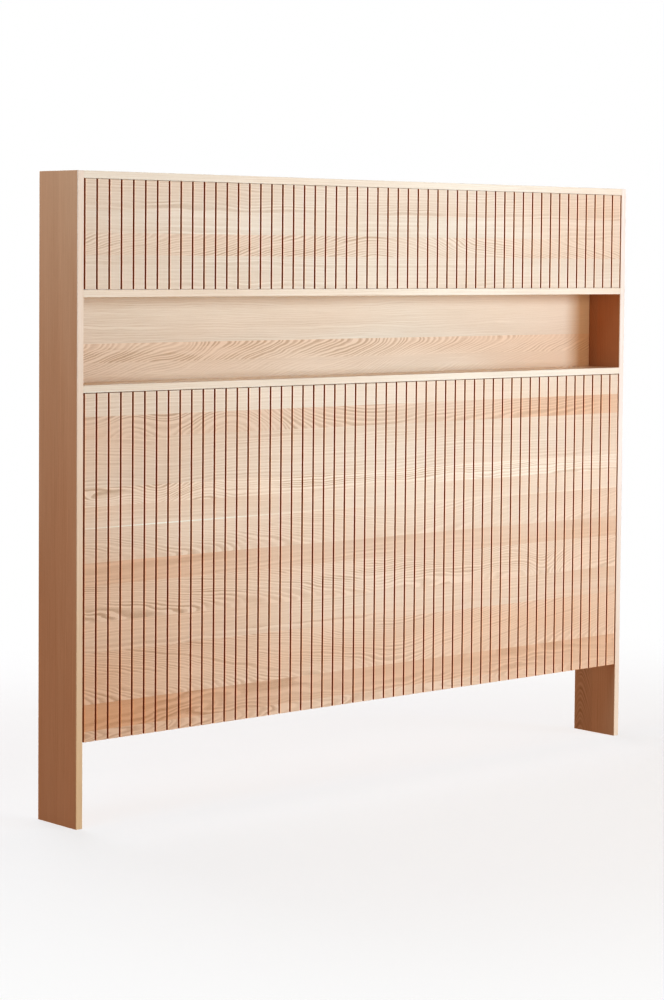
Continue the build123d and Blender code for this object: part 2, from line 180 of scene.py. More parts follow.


# The staves' numbers stand in the order of Stave's fields: top, light, warm, figure, heart,
# deep, slope, crest, ring, wander and seed
# An eye's glow in these staves and in UPPER_STAVES is partly the wood's own warm patches and
# partly painted warm shade towards the panels' ends.
LOWER_STAVES = (
    Stave(0, 1.015, -0.65, 0.3, 2.2, 60, 0.01, 0, 5, 2, 1.3, Eye(420, glow=0.6, reach=450)),
    Stave(
        0.067, 0.985, 0.3, 1.8, -0.05, 20, 0.07, 30, 6.2, 4, 2.1,
        Eye(640, glow=0.75), Dome(-665, -24, 70), Dome(-400, -70, 150),
    ),
    Stave(
        0.131, 1.01, -0.1, 0.9, -0.7, 60, 0.01, 200, 6, 3, 3.7,
        first=Dome(-560, 9, 90), second=Dome(240, -6, 160),
    ),
    Stave(
        0.272, 1.065, -0.25, 2.9, -0.35, 15, 0.01, -900, 5, 6, 4.9,
        Eye(-735, 0.45, 16), Dome(-600, 15, 55), Dome(-480, -12, 60),
    ),
    Stave(0.325, 1.045, 0, 0.35, -0.8, 60, 0.01, 0, 5.5, 3, 5.2),
    Stave(0.3843, 1.09, 0, 0.2, -0.8, 60, 0.01, 0, 5.5, 3, 5.2, Eye(-560, glow=-1.5)),
    Stave(0.388, 1.02, 0.05, 1, 0, 26, 0.12, 120, 4.5, 4, 6.4),
    Stave(0.486, 0.985, 0.55, 0.65, 1.8, 70, 0.01, 0, 7, 3, 7.1, Eye(-600, glow=0.6)),
    Stave(
        0.551, 1.02, 0.3, 2.4, 0.04, 20, 0.08, 250, 4.5, 6, 8.8,
        Eye(-560, glow=0.2), Dome(-60, 12, 130), Dome(540, 24, 60),
    ),
    Stave(0.658, 1.015, 0.35, 0.7, -1, 60, 0.01, 0, 6, 3, 9.5, Eye(-560, glow=0.2)),
    Stave(0.724, 1, 0.4, 1.2, -1.5, 50, 0.01, 0, 5, 4, 10.6, Eye(-560, glow=0.1)),
    Stave(
        0.746, 1.01, 0.7, 1.5, -0.02, 26, 0.16, 60, 4.5, 5, 11.7,
        Eye(-560, glow=0.1), Dome(-330, 8, 120),
    ),
    Stave(
        0.893, 0.965, 1.2, 1.35, 1.2, 60, 0.02, 200, 9, 9, 12.9,
        Eye(-700, glow=0.5), Dome(-520, 10, 150), Dome(60, -14, 200),
    ),
    Stave(0.97, 0.99, 0.65, 2, 0.6, 16, 0.1, 0, 4, 7, 13.4, Eye(640, glow=0.35)),
)

UPPER_STAVES = (
    Stave(0, 0.985, -0.15, 1.2, -0.8, 55, 0.01, 0, 5.5, 4, 21.3, Eye(690, glow=0.5)),
    Stave(0.275, 0.995, -0.45, 0.7, -0.6, 60, 0.01, 0, 6, 3, 22.7, Eye(690, glow=0.6)),
    Stave(
        0.486, 0.995, -0.1, 2.3, 1.2, 16, 0.18, 0, 4.4, 5, 23.1,
        Eye(690, glow=0.4), Dome(-420, -9, 110), Dome(300, -12, 90),
    ),
    Stave(0.688, 0.985, -0.4, 0.6, -0.6, 60, 0.01, 0, 6, 4, 24.6, Eye(690, glow=0.15)),
)

# The eyes' glow at x 740 mm paints warm bounce light and shade into the niche back's right corner,
# beside the right wall.
WAVY_NICHE_STAVE = Stave(
    0.545, 0.995, 0.4, 3.5, 1, 12, 0.3, 1100, 5.2, 5, 32.8,
    Eye(740, glow=0.4), Dome(-460, -14, 60), Dome(40, -16, 110),
)
NICHE_STAVES = (
    Stave(0, 0.94, -0.45, 0.45, -0.6, 60, 0.01, 0, 3.8, 4, 31.3, Eye(740, glow=0.7)),
    WAVY_NICHE_STAVE,
    replace(WAVY_NICHE_STAVE, top=0.735, light=0.975, figure=0.7, heart=1.7),
)

# Painted warm shade at the side board's foot: it grows warmer towards the floor.
LEFT_SIDE_FOOT_SHADE = Eye(200, glow=0.3, reach=400)
LEFT_SIDE_STAVES = (
    Stave(0, 1, 0, 0.6, -0.9, 60, 0.01, 0, 2.4, 2, 41.2, LEFT_SIDE_FOOT_SHADE),
    Stave(0.52, 1.02, 0, 0.5, 1.9, 60, 0.01, 0, 2.6, 2, 42.9, LEFT_SIDE_FOOT_SHADE),
)
# The right board's staves are darker than the left's, and much warmer at the niche's height (z 965
# mm): painted shade and warm bounce light for its inner face in the niche and below it.
RIGHT_SIDE_STAVES = (
    Stave(0, 0.805, 0, 2.4, 0.65, 16, 0.3, 1500, 4.5, 3, 44.9, Eye(965, glow=2)),
    Stave(0.45, 0.87, -0.3, 1.1, -0.7, 60, 0.01, 0, 2.4, 2, 43.2, Eye(965, glow=2.7)),
)

# The top board and shelves are lighter and warmer than the front's ash: painted light on the
# shelves' tops, which the lamps leave dim.
BOARD_STAVES = (Stave(0, 1.14, 0.25, 0.7, 1.4, 60, 0.01, 0, 2.6, 3, 51.2),)

# The level lippings grow warmer towards their right ends.
LEVEL_LIPPING_WARM_END = Eye(820, glow=0.45, reach=220)
LIPPING_STAVE = Stave(0, 1.03, -0.65, 0.5, 3, 60, 0.002, 0, 2.2, 1.5, 61.2, LEVEL_LIPPING_WARM_END)
# Painted warm shade at the upright lippings' feet: each grows warmer towards the floor, the left
# one more and higher up.
RIGHT_LIPPING_FOOT_SHADE = Eye(0, glow=0.55, reach=400)
LEFT_LIPPING_FOOT_SHADE = Eye(0, glow=1.6, reach=650)
LEVEL_LIPPING_STAVES = (LIPPING_STAVE,)
RIGHT_LIPPING_STAVES = (replace(LIPPING_STAVE, light=1.045, warm=-0.6, eye=RIGHT_LIPPING_FOOT_SHADE),)
LEFT_LIPPING_STAVES = (replace(LIPPING_STAVE, light=1.01, warm=-0.55, eye=LEFT_LIPPING_FOOT_SHADE),)


@dataclass(frozen=True)
class Grain:
    """A layer of noise drawn out along the grain.

    Attributes:
        pace: Waves for each mm along the grain.
        cross_pace: Waves for each mm across it.
        detail: How many finer layers it has.
    """

    pace: float
    cross_pace: float
    detail: float


SLOW_WANDER = Grain(0.0055, 0.02, 2.0)
QUICK_WANDER = Grain(0.03, 0.09, 2.0)
PATCHES = Grain(0.0045, 0.03, 1.0)
FIBRES = Grain(0.02, 1.3, 3.0)
PORES = Grain(0.14, 5.5, 1.0)
CLOUDS = Grain(0.0028, 0.016, 2.0)
STREAKS = Grain(0.004, 0.35, 1.0)
THREADS = Grain(0.005, 0.3, 2.0)
DRIFT = Grain(0.0021, 0.011, 1.0)

# How dark a ring's line is from the start of its year, 0, to the end, 1, and the mean of that
RING_CURVE = ((0.0, 0.15), (0.14, 0.8), (0.3, 1.0), (0.62, 0.7), (0.82, 0.1), (1.0, 0.0))
RING_MEAN = 0.6

# What each layer of the figure adds to the wood's darkness and to the height of its relief,
# and what they are added to
DARKNESS = {
    "rings": 0.62, "threads": 0.35, "pores": 0.5, "fibres": 0.55, "clouds": 0.5,
    "streaks": -0.2, "ground": 0.2,
}
HEIGHT = {"rings": -0.25, "pores": -0.6, "fibres": 0.35, "ground": 0.6}


class Wiring:
    """The nodes of a material or world, added and joined by short calls."""

    def __init__(self, owner: bpy.types.Material | bpy.types.World) -> None:
        """Clears the owner's nodes.

        Args:
            owner: The material or world.
        """
        owner.use_nodes = True
        self.owner = owner
        self.nodes, self.links = owner.node_tree.nodes, owner.node_tree.links
        self.nodes.clear()

    def add(self, kind: str, **settings: object) -> bpy.types.Node:
        """Adds a node.

        Args:
            kind: The node's type.
            settings: Properties of the node and their values.

        Returns:
            The node.
        """
        node = self.nodes.new(kind)
        for name, value in settings.items():
            setattr(node, name, value)
        return node

    def feed(self, socket: Socket, value: object) -> None:
        """Joins a socket to another one, or sets its value.

        Args:
            socket: The socket that takes the value.
            value: A socket, a number or a tuple.
        """
        if isinstance(value, bpy.types.NodeSocket):
            self.links.new(value, socket)
        else:
            socket.default_value = value

    def result(self, kind: str, *values: object, **settings: object) -> Socket:
        """Adds a node, feeds its inputs in their order and gives its first output.

        Args:
            kind: The node's type.
            values: Sockets, numbers or tuples for its first inputs.
            settings: Properties of the node and their values.

        Returns:
            The output's socket.
        """
        node = self.add(kind, **settings)
        for socket, value in zip(node.inputs, values):
            self.feed(socket, value)
        return node.outputs[0]

    def math(self, operation: str, *values: object, clamp: bool = False) -> Socket:
        """A number worked out of up to three others."""
        return self.result("ShaderNodeMath", *values, operation=operation, use_clamp=clamp)

    def total(self, *values: object) -> Socket:
        """The sum of all values."""
        return reduce(partial(self.math, "ADD"), values)

    def product(self, *values: object) -> Socket:
        """The product of all values."""
        return reduce(partial(self.math, "MULTIPLY"), values)

    def less(self, value: object, other: object) -> Socket:
        """The first value minus the other."""
        return self.math("SUBTRACT", value, other)

    def swing(self, noise: Socket, *by: object) -> Socket:
        """Noise moved to lie about 0, times everything that follows."""
        return self.product(self.less(noise, 0.5), *by)

    def held(self, value: Socket) -> Socket:
        """The value, held between 0 and 1."""
        return self.math("MAXIMUM", value, 0.0, clamp=True)

    def squares(self, *sides: object) -> Socket:
        """The sum of the squares of all sides."""
        return self.total(*(self.product(side, side) for side in sides))

    def length(self, *sides: object) -> Socket:
        """The root of the sum of squares."""
        return self.math("SQRT", self.squares(*sides))

    def bell(self, *offsets: object) -> Socket:
        """A bell-shaped weight: e to the minus sum of the offsets' squares."""
        return self.math("EXPONENT", self.product(self.squares(*offsets), -1.0))

    def point(self, *values: object) -> Socket:
        """A vector out of three numbers."""
        return self.result("ShaderNodeCombineXYZ", *values)

    def parts(self, vector: Socket) -> Point:
        """The three numbers of a vector."""
        return tuple(self.result("ShaderNodeSeparateXYZ", vector).node.outputs)

    def noise(self, place: Socket, detail: float = 2.0, roughness: float = 0.5) -> Socket:
        """Soft noise about 0.5 with a grain of one unit, plus finer layers by its detail."""
        return self.result("ShaderNodeTexNoise", place, 0.0, 1.0, detail, roughness)

    def ease(self, value: Socket, *limits: float) -> Socket:
        """A value carried from the range of two limits to the other two, held at both ends."""
        kind = "ShaderNodeMapRange"
        return self.result(kind, value, *limits, interpolation_type="SMOOTHSTEP")

    def ramp(self, value: Socket, stops: tuple[tuple[float, float], ...]) -> Socket:
        """A number read off a smooth curve.

        Args:
            value: Where the curve is read, from 0 to 1.
            stops: Places on the curve and their heights.

        Returns:
            The height's socket.
        """
        node = self.add("ShaderNodeValToRGB")
        node.color_ramp.interpolation = "EASE"
        elements = node.color_ramp.elements
        while len(elements) < len(stops):
            elements.new(0.5)
        for element, (place, height) in zip(elements, stops):
            element.position = place
            element.color = (height, height, height, 1.0)
        self.feed(node.inputs[0], value)
        return node.outputs[0]

    def blend(self, share: object, first: object, second: object, held: bool = True) -> Socket:
        """Two colours mixed.

        Args:
            share: The second colour's share.
            first: The first colour.
            second: The second colour.
            held: Whether the share stays between 0 and 1.

        Returns:
            The colour's socket.
        """
        node = self.add("ShaderNodeMix", data_type="RGBA", clamp_factor=held)
        self.feed(node.inputs[0], share)
        for socket, value in ((node.inputs[6], first), (node.inputs[7], second)):
            self.feed(socket, (*value, 1.0) if isinstance(value, tuple) else value)
        return node.outputs[2]

    def scaled(self, vector: Socket, by: object) -> Socket:
        """A vector or colour times a number or, part by part, times another one."""
        factors = (by, by, by) if isinstance(by, float) else by
        return self.result("ShaderNodeVectorMath", vector, factors, operation="MULTIPLY")

    def place(self) -> Socket:
        """The point on the piece, in mm, in the frame that all pieces share."""
        coordinates = self.add("ShaderNodeTexCoord")
        return self.scaled(coordinates.outputs["Object"], 1.0 / MM)

    def surface(
        self,
        colour: object,
        roughness: object,
        height: Socket | None = None,
        depth: float = 0.1 * MM,
        metal: float = 0.0,
        specular: float = 0.5,
    ) -> bpy.types.Material:
        """Closes the material with its shader.

        Args:
            colour: The colour.
            roughness: The roughness.
            height: Height of the relief, from 0 to 1.
            depth: How deep the relief is, in metres.
            metal: How metallic it is.
            specular: Strength of its gloss.

        Returns:
            The material.
        """
        shader = self.add("ShaderNodeBsdfPrincipled")
        self.feed(shader.inputs["Base Color"], colour)
        self.feed(shader.inputs["Roughness"], roughness)
        shader.inputs["Metallic"].default_value = metal
        shader.inputs["Specular IOR Level"].default_value = specular
        if height is not None:
            bump = self.add("ShaderNodeBump")
            bump.inputs["Strength"].default_value = 1.0
            bump.inputs["Distance"].default_value = depth
            self.feed(bump.inputs["Height"], height)
            self.feed(shader.inputs["Normal"], bump.outputs[0])
        return self.close(shader.outputs[0], "ShaderNodeOutputMaterial")

    def close(self, shader: Socket, kind: str) -> bpy.types.Material | bpy.types.World:
        """Joins the shader to an output of the kind that is named, and gives the owner."""
        self.feed(self.add(kind).inputs["Surface"], shader)
        return self.owner


class WoodWiring(Wiring):
    """The nodes of an ash material, which know the point's place in its stave.

    Attributes:
        along: Place along the grain, in mm.
        across: Place across it.
        inward: Place into the wood.
        facts: The facts of the stave at the point, by name.
        seed: The stave's seed.
    """

    def __init__(self, finish: AshFinish) -> None:
        """Finds the point's place and its stave's facts.

        Args:
            finish: The finish.
        """
        super().__init__(bpy.data.materials.new(finish.name))
        axes = self.parts(self.place())
        self.along, self.across, self.inward = (axes[i] for i in finish.lay.value)
        self.facts = finish.stave_facts(self, self.across)
        self.seed = self.fact("rings")[2]

    def fact(self, name: str) -> Point:
        """The three numbers of a fact."""
        return self.parts(self.facts[name])

    def layer(self, grain: Grain) -> Socket:
        """A layer of noise, whose place is moved by the seed so that no two staves match.

        Args:
            grain: The layer.

        Returns:
            The noise's socket.
        """
        place = self.point(
            self.total(self.product(self.along, grain.pace), self.product(self.seed, 3.7)),
            self.product(self.across, grain.cross_pace),
            self.total(
                self.product(self.inward, grain.cross_pace), self.product(self.seed, 5.3)
            ),
        )
        return self.noise(place, grain.detail)

    def eye_push(self) -> Socket:
        """The push at the eye: its pull times a bell that is wider along the grain.

        Returns:
            The push's socket.
        """
        along, across, pull = self.fact("eye")
        far = self.product(self.less(self.along, along), 1.0 / EYE_LENGTH)
        off = self.product(self.less(self.across, across), 1.0 / EYE_WIDTH)
        return self.product(pull, self.bell(far, off))

    def eye_warmth_and_shade(self) -> Socket:
        """The warmth around the eye, partly the wood's own and partly painted warm shade: its glow
        times a bell over its reach.

        Returns:
            The warmth's socket.
        """
        reach, glow = self.fact("heart")[2], self.fact("trunk")[2]
        far = self.math("DIVIDE", self.less(self.along, self.fact("eye")[0]), reach)
        return self.product(self.bell(far), glow)

    def dome_push(self, name: str) -> Socket:
        """The push of a dome: its lift times a bell over its reach.

        Args:
            name: The fact that holds the dome.

        Returns:
            The push's socket.
        """
        place, lift, reach = self.fact(name)
        far = self.math("DIVIDE", self.less(self.along, place), reach)
        return self.product(lift, self.bell(far))

    def growth(self) -> Socket:
        """The point's ring number, which grows by one from year to year.

        Rings are cylinders about the trunk's heart. The number is the distance from the heart,
        less slope times the softened distance from the crest, plus noise that lets the rings
        wander, plus the pushes of the stave's eye and domes, all over the ring's width. Slow
        noise on the number itself makes some years wider than others.

        Returns:
            The number's socket.
        """
        heart_across, heart_inward, _ = self.fact("heart")
        slope, crest, _ = self.fact("trunk")
        ring_width, wander, _ = self.fact("rings")
        rise, dip = self.less(self.across, heart_across), self.less(self.inward, heart_inward)
        away = self.length(self.less(self.along, crest), CREST_REACH)
        radius = self.total(
            self.length(rise, dip),
            self.product(away, slope, -1.0),
            self.swing(self.layer(SLOW_WANDER), wander, 4.0),
            self.swing(self.layer(QUICK_WANDER), wander, 0.4),
            self.eye_push(),
            self.dome_push("first_dome"),
            self.dome_push("second_dome"),
        )
        growth = self.math("DIVIDE", radius, ring_width)
        years = self.noise(self.point(self.product(growth, 0.37), self.seed, 0.0), 1.0)
        return self.total(growth, self.product(years, 2.6))


@dataclass(frozen=True)
class AshFinish:
    """Ash under a thin matt lacquer: ring lines, fibres, pores and broad clouds of tone.

    Attributes:
        name: The material's name.
        lay: How the wood lies.
        facts: Where the facts of its staves are found.
        staves: The staves, where they are found by place.
        low: Where the staves start across the grain, in mm, where they are found by place.
        high: Where they end.
        face: Depth of the face that shows, in mm, where they are found by place.
        pale: Colour of the wood between its ring lines.
        brown: Colour of its ring lines and pores.
        blush: What the tone is multiplied by in a stave that is fully warm.
        roughness: Roughness of the lacquer.
        ends: How much warmer the wood is at END_REACH from its middle along the grain, as
            painted warm shade.
        rise: How much lighter it gets from its middle to one END_REACH, as painted light and
            shade.
        fall: How much darker it gets from its middle to both, as painted shade.
        fade: How much weaker its figure gets towards the one.
    """

    name: str
    lay: Lay
    facts: Facts = Facts.ON_FACES
    staves: tuple[Stave, ...] = ()
    low: float = 0.0
    high: float = 1.0
    face: float = 0.0
    pale: Colour = (0.825, 0.741, 0.643)
    brown: Colour = (0.62, 0.507, 0.39)
    blush: Colour = (0.97, 0.86, 0.78)
    roughness: float = 0.5
    ends: float = 0.0
    rise: float = 0.0
    fall: float = 0.0
    fade: float = 0.0

    def material(self) -> bpy.types.Material:
        """Builds the material: the figure makes it darker and gives its relief and gloss.

        Painted light and shade change with the distance from the object's middle along the grain,
        as a share of END_REACH: warmth grows with its square, lightness with itself less its
        square.

        Returns:
            The material.
        """
        w = WoodWiring(self)
        light, warm, figure = w.fact("tone")
        out = w.product(w.along, 1.0 / END_REACH)
        clear = w.total(1.0, w.product(out, -self.fade))

        growth = w.growth()
        year = w.point(w.math("FLOOR", growth), w.seed, 0.0)
        year = w.result("ShaderNodeTexWhiteNoise", year, noise_dimensions="2D")
        line = w.ramp(w.math("FRACT", growth), RING_CURVE)
        strength = w.product(w.ease(year, 0.0, 1.0, 0.35, 1.0), figure)
        strength = w.product(strength, w.ease(w.layer(PATCHES), 0.4, 0.6, 0.3, 1.25))
        relief = w.product(w.less(line, RING_MEAN), strength, clear)
        fibre = w.layer(FIBRES)
        speck = w.product(w.ease(w.layer(PORES), 0.56, 0.72, 0.0, 1.0), w.total(0.4, relief))
        streak = w.ease(w.layer(STREAKS), 0.68, 0.8, 0.0, 1.0)
        dark = w.total(
            w.product(relief, DARKNESS["rings"]),
            w.swing(w.layer(THREADS), clear, DARKNESS["threads"]),
            w.product(speck, DARKNESS["pores"]),
            w.swing(fibre, clear, DARKNESS["fibres"]),
            w.swing(w.layer(CLOUDS), DARKNESS["clouds"]),
            w.product(streak, DARKNESS["streaks"]),
            DARKNESS["ground"],
        )
        colour = w.blend(w.held(dark), self.pale, self.brown)

        # Painted warm shade towards both ends along the grain.
        painted_end_warmth = w.product(out, out, self.ends)
        warmth = w.total(warm, w.swing(w.layer(DRIFT), 1.1), w.eye_warmth_and_shade(), painted_end_warmth)
        tint = w.blend(warmth, (1.0, 1.0, 1.0), self.blush, held=False)
        # Painted light and shade: lighter towards one end and darker towards the other, and darker
        # towards both ends.
        painted_falloff = w.total(1.0, w.product(out, self.rise), w.product(out, out, -self.fall))
        light = w.product(light, painted_falloff)
        colour = w.scaled(w.scaled(colour, tint), w.point(light, light, light))
        rough = w.total(self.roughness, w.product(fibre, 0.1), w.product(speck, 0.3))
        height = w.total(
            w.product(fibre, HEIGHT["fibres"]),
            w.product(relief, HEIGHT["rings"]),
            w.product(speck, HEIGHT["pores"]),
            HEIGHT["ground"],
        )
        return w.surface(colour, rough, height, 0.08 * MM, specular=0.38)

    def stave_facts(self, w: Wiring, across: Socket) -> dict[str, Socket]:
        """The facts of the stave at a point, off the faces or by its place across the grain.

        Args:
            w: The material's nodes.
            across: Place across the grain.

        Returns:
            The facts' sockets by name.
        """
        if self.facts is Facts.ON_FACES:
            return {
                name: w.add("ShaderNodeAttribute", attribute_name=name).outputs["Vector"]
                for name in FACT_NAMES
            }
        edges = stave_edges(self.staves, self.low, self.high)[1:]
        below = [w.math("LESS_THAN", across, float(edge)) for edge in edges]
        sockets = {}
        for name, rows in stave_table(self.staves, self.low, self.high, self.face).items():
            sockets[name] = w.point(*map(float, rows[0]))
            for share, row in zip(below, rows[1:]):
                node = w.add("ShaderNodeMix", data_type="VECTOR")
                w.feed(node.inputs[0], share)
                w.feed(node.inputs[4], sockets[name])
                w.feed(node.inputs[5], tuple(map(float, row)))
                sockets[name] = node.outputs[1]
        return sockets


def ash_by_place(
    name: str, lay: Lay, staves: tuple[Stave, ...], node: str, **looks: float
) -> AshFinish:
    """Ash for a CAD node, which finds its staves by their place in the node's box.

    Args:
        name: The material's name.
        lay: How the wood lies.
        staves: The staves.
        node: The node's name.
        looks: Further fields of the finish.

    Returns:
        The finish.
    """
    low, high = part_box(node)
    _, across, inward = lay.value
    place = (low[across] / MM, high[across] / MM, low[inward] / MM)
    return AshFinish(name, lay, Facts.BY_PLACE, staves, *place, **looks)


def stave_edges(staves: tuple[Stave, ...], low: float, high: float) -> np.ndarray:
    """Where each stave starts, from the high edge down: high minus top times the span."""
    return high - np.array([stave.top for stave in staves]) * (high - low)


def stave_table(
    staves: tuple[Stave, ...], low: float, high: float, face: float
) -> dict[str, np.ndarray]:
    """The staves' facts as rows of three numbers, in mm.

    Args:
        staves: The staves.
        low: The face's low edge across the grain.
        high: Its high edge.
        face: The face's place in depth.

    Returns:
        One array for each of FACT_NAMES, with one row for each stave.
    """
    starts = stave_edges(staves, low, high)
    ends = np.append(starts[1:], low)
    spans = starts - ends
    hearts = ends + np.array([stave.heart for stave in staves]) * spans
    eyes = ends + np.array([stave.eye.across for stave in staves]) * spans
    rows = (
        [(h, face + s.deep, s.eye.reach) for h, s in zip(hearts, staves)],
        [(s.ring, s.wander, s.seed) for s in staves],
        [(s.light, s.warm, s.figure) for s in staves],
        [(s.eye.along, e, s.eye.pull) for e, s in zip(eyes, staves)],
        [(s.slope, s.crest, s.eye.glow) for s in staves],
        [(s.first.along, s.first.lift, s.first.reach) for s in staves],
        [(s.second.along, s.second.lift, s.second.reach) for s in staves],
    )
    return dict(zip(FACT_NAMES, map(np.array, rows)))


@dataclass(frozen=True)
class FibreboardFinish:
    """Brown fibreboard: mealy and reddish where it is cut, greyer on its pressed back.

    Attributes:
        back: Place of the pressed back in depth, in mm.
        name: The material's name.
        dark: Colour of its dark fibres where it is cut.
        bright: Colour of its bright fibres there.
        pressed: What both are multiplied by on the back.
    """

    back: float
    name: str = "brown_fibreboard"
    dark: Colour = (0.41, 0.16, 0.062)
    bright: Colour = (0.60, 0.265, 0.11)
    pressed: Colour = (0.72, 1.02, 1.45)

    def material(self) -> bpy.types.Material:
        """Builds the material: two layers of noise mix two browns and lift the surface.

        Returns:
            The material.
        """
        w = Wiring(bpy.data.materials.new(self.name))
        place = w.place()
        meal = w.noise(w.scaled(place, 1.7), 4.0, 0.7)
        cloud = w.noise(w.scaled(place, 0.04))
        share = w.total(w.product(meal, 0.75), w.product(cloud, 0.5), -0.1)
        colour = w.blend(w.held(share), self.dark, self.bright)
        behind = w.math("GREATER_THAN", w.parts(place)[1], self.back - 0.3)
        colour = w.blend(behind, colour, w.scaled(colour, self.pressed))
        rough = w.total(0.72, w.product(meal, 0.2), w.product(behind, -0.2))
        return w.surface(colour, rough, meal, 0.12 * MM, specular=0.2)


@dataclass(frozen=True)
class ChipboardFinish:
    """Raw particle board: pressed chips of several tones with fine dust between them."""

    name: str = "raw_board"
    dark: Colour = (0.42, 0.29, 0.17)
    bright: Colour = (0.68, 0.53, 0.36)

    def material(self) -> bpy.types.Material:
        """Builds the material: cells of a warped Voronoi pattern are the chips.

        Returns:
            The material.
        """
        w = Wiring(bpy.data.materials.new(self.name))
        place = w.place()
        chips = w.add("ShaderNodeTexVoronoi", feature="F1")
        chips.inputs["Scale"].default_value = 1.0
        bend = w.noise(w.scaled(place, 0.3))
        lead = (w.scaled(place, (0.22, 0.3, 0.4)), w.point(bend, bend, bend))
        lead = w.result("ShaderNodeVectorMath", *lead, operation="ADD")
        w.feed(chips.inputs["Vector"], lead)
        chip = w.parts(chips.outputs["Color"])[0]
        dust = w.noise(w.scaled(place, 1.4), 3.0, 0.65)
        share = w.total(w.product(chip, 0.55), w.product(dust, 0.6), -0.08)
        colour = w.blend(w.held(share), self.dark, self.bright)
        return w.surface(colour, w.total(0.66, w.product(dust, 0.2)), dust, 0.1 * MM, specular=0.2)


@dataclass(frozen=True)
class MetalFinish:
    """Zinc in one of its two states, plated on steel or cast.

    Attributes:
        name: The material's name.
        dark: Colour of its dull places.
        bright: Colour of its bright places.
        roughness: Its mean roughness.
        grain: Waves of its relief for each mm.
        relief: Depth of its relief, in metres.
    """

    name: str
    dark: Colour
    bright: Colour
    roughness: float
    grain: float
    relief: float

    def material(self) -> bpy.types.Material:
        """Builds the material: clouds of dullness over a fine relief.

        Returns:
            The material.
        """
        w = Wiring(bpy.data.materials.new(self.name))
        place = w.place()
        cloud = w.noise(w.scaled(place, 0.12), 3.0, 0.6)
        fine = w.noise(w.scaled(place, self.grain))
        colour = w.blend(cloud, self.dark, self.bright)
        rough = w.total(self.roughness - 0.1, w.product(cloud, 0.2), w.product(fine, 0.08))
        return w.surface(colour, rough, fine, self.relief, metal=0.95)


@dataclass(frozen=True)
class BeechFinish:
    """Fluted beech dowels: plain pinkish wood with short flecks."""

    name: str = "beech"
    dark: Colour = (0.48, 0.28, 0.15)
    bright: Colour = (0.70, 0.47, 0.29)

    def material(self) -> bpy.types.Material:
        """Builds the material: short stretched flecks on a soft ground.

        Returns:
            The material.
        """
        w = Wiring(bpy.data.materials.new(self.name))
        place = w.place()
        fleck = w.noise(w.scaled(place, (0.5, 2.4, 2.4)), 2.0, 0.6)
        share = w.ease(fleck, 0.3, 0.62, 0.0, 1.0)
        colour = w.blend(share, self.dark, self.bright)
        return w.surface(colour, w.total(0.5, w.product(fleck, 0.15)), fleck, 0.05 * MM)


def prism_mesh(name: str, rings: np.ndarray) -> bpy.types.Object:
    """A mesh of closed prisms, with faces that point outwards.

    A side face joins points k and k + 1 of two rings next to each other, and a cap is a whole
    end ring. The mesh's volume, a sixth of the sum of its faces' triple products, is made
    positive by turning every face.

    Args:
        name: The piece's name.
        rings: Vertices by prism, ring and point around the ring, in metres.

    Returns:
        The object, with no material yet.
    """
    vertices = rings.reshape(-1, 3)
    index = np.arange(len(vertices)).reshape(rings.shape[:3])
    turned = np.roll(index, -1, axis=2)
    quads = np.stack((index[:, :-1], turned[:, :-1], turned[:, 1:], index[:, 1:]), axis=-1)
    quads = quads.reshape(-1, 4)
    caps = np.stack((index[:, 0, ::-1], index[:, -1]), axis=1).reshape(-1, rings.shape[2])
    centred = vertices - vertices.mean(axis=0)
    a, b, c, d = (centred[quads[:, i]] for i in range(4))
    fans = centred[caps]
    volume = (np.cross(a, b) * c).sum() + (np.cross(a, c) * d).sum()
    volume += (np.cross(fans[:, :1], fans[:, 1:-1]) * fans[:, 2:]).sum()
    if volume < 0:
        quads, caps = quads[:, ::-1], caps[:, ::-1]
    mesh = bpy.data.meshes.new(name)
    mesh.from_pydata(vertices.tolist(), [], quads.tolist() + caps.tolist())
    mesh.validate()
    mesh.update()
    piece = bpy.data.objects.new(name, mesh)
    bpy.context.scene.collection.objects.link(piece)
    return piece


def write_facts(mesh: bpy.types.Mesh, facts: dict[str, np.ndarray]) -> None:
    """Puts facts on the mesh's faces, three numbers each.

    Args:
        mesh: The mesh.
        facts: A row for each face, by the fact's name.
    """
    for name, rows in facts.items():
        attribute = mesh.attributes.new(name, "FLOAT_VECTOR", "FACE")
        attribute.data.foreach_set("vector", rows.astype(np.float32).ravel())


def vectors(items: bpy.types.bpy_prop_collection, name: str) -> np.ndarray:
    """Reads a property of a mesh's faces or points.

    Args:
        items: The faces or points.
        name: The property, which has three numbers.

    Returns:
        A row for each face or point.
    """
    numbers = np.empty(len(items) * 3, np.float32)
    items.foreach_get(name, numbers)
    return numbers.reshape(-1, 3)


def face_centres(mesh: bpy.types.Mesh) -> np.ndarray:
    """The middle of each face, in mm."""
    return vectors(mesh.polygons, "center") / MM


def stations(
    low: float, high: float, arris: float, cuts: Iterable[float] = ()
) -> tuple[np.ndarray, np.ndarray]:
    """Places of a prism's rings along its length, three at each end that break its edge.

    Args:
        low: The low end.
        high: The high end.
        arris: Radius of the ends' edges.
        cuts: Places of further rings between the ends, in rising order.

    Returns:
        The places, and how far each ring is drawn in.
    """
    between = np.array(cuts, float)
    broken, drawn = arris * END_STEPS, arris * END_INSETS
    places = np.concatenate((low + broken, between, high - broken[::-1]))
    return places, np.concatenate((drawn, np.zeros(len(between)), drawn[::-1]))


def stave_facts(
    mesh: bpy.types.Mesh, staves: tuple[Stave, ...], lay: Lay, face: float
) -> dict[str, np.ndarray]:
    """Gives each face the facts of the stave that its middle lies in.

    Args:
        mesh: The mesh.
        staves: The staves, from the high edge down.
        lay: How the wood lies.
        face: The face's place in depth, in mm.

    Returns:
        A row for each face, by the fact's name.
    """
    across = vectors(mesh.vertices, "co")[:, lay.value[1]] / MM
    low, high = float(across.min()), float(across.max())
    middles = face_centres(mesh)[:, lay.value[1]]
    edges = stave_edges(staves, low, high)
    which = (middles[:, None] < edges[None, 1:]).sum(axis=1)
    table = stave_table(staves, low, high, face)
    return {name: rows[which] for name, rows in table.items()}


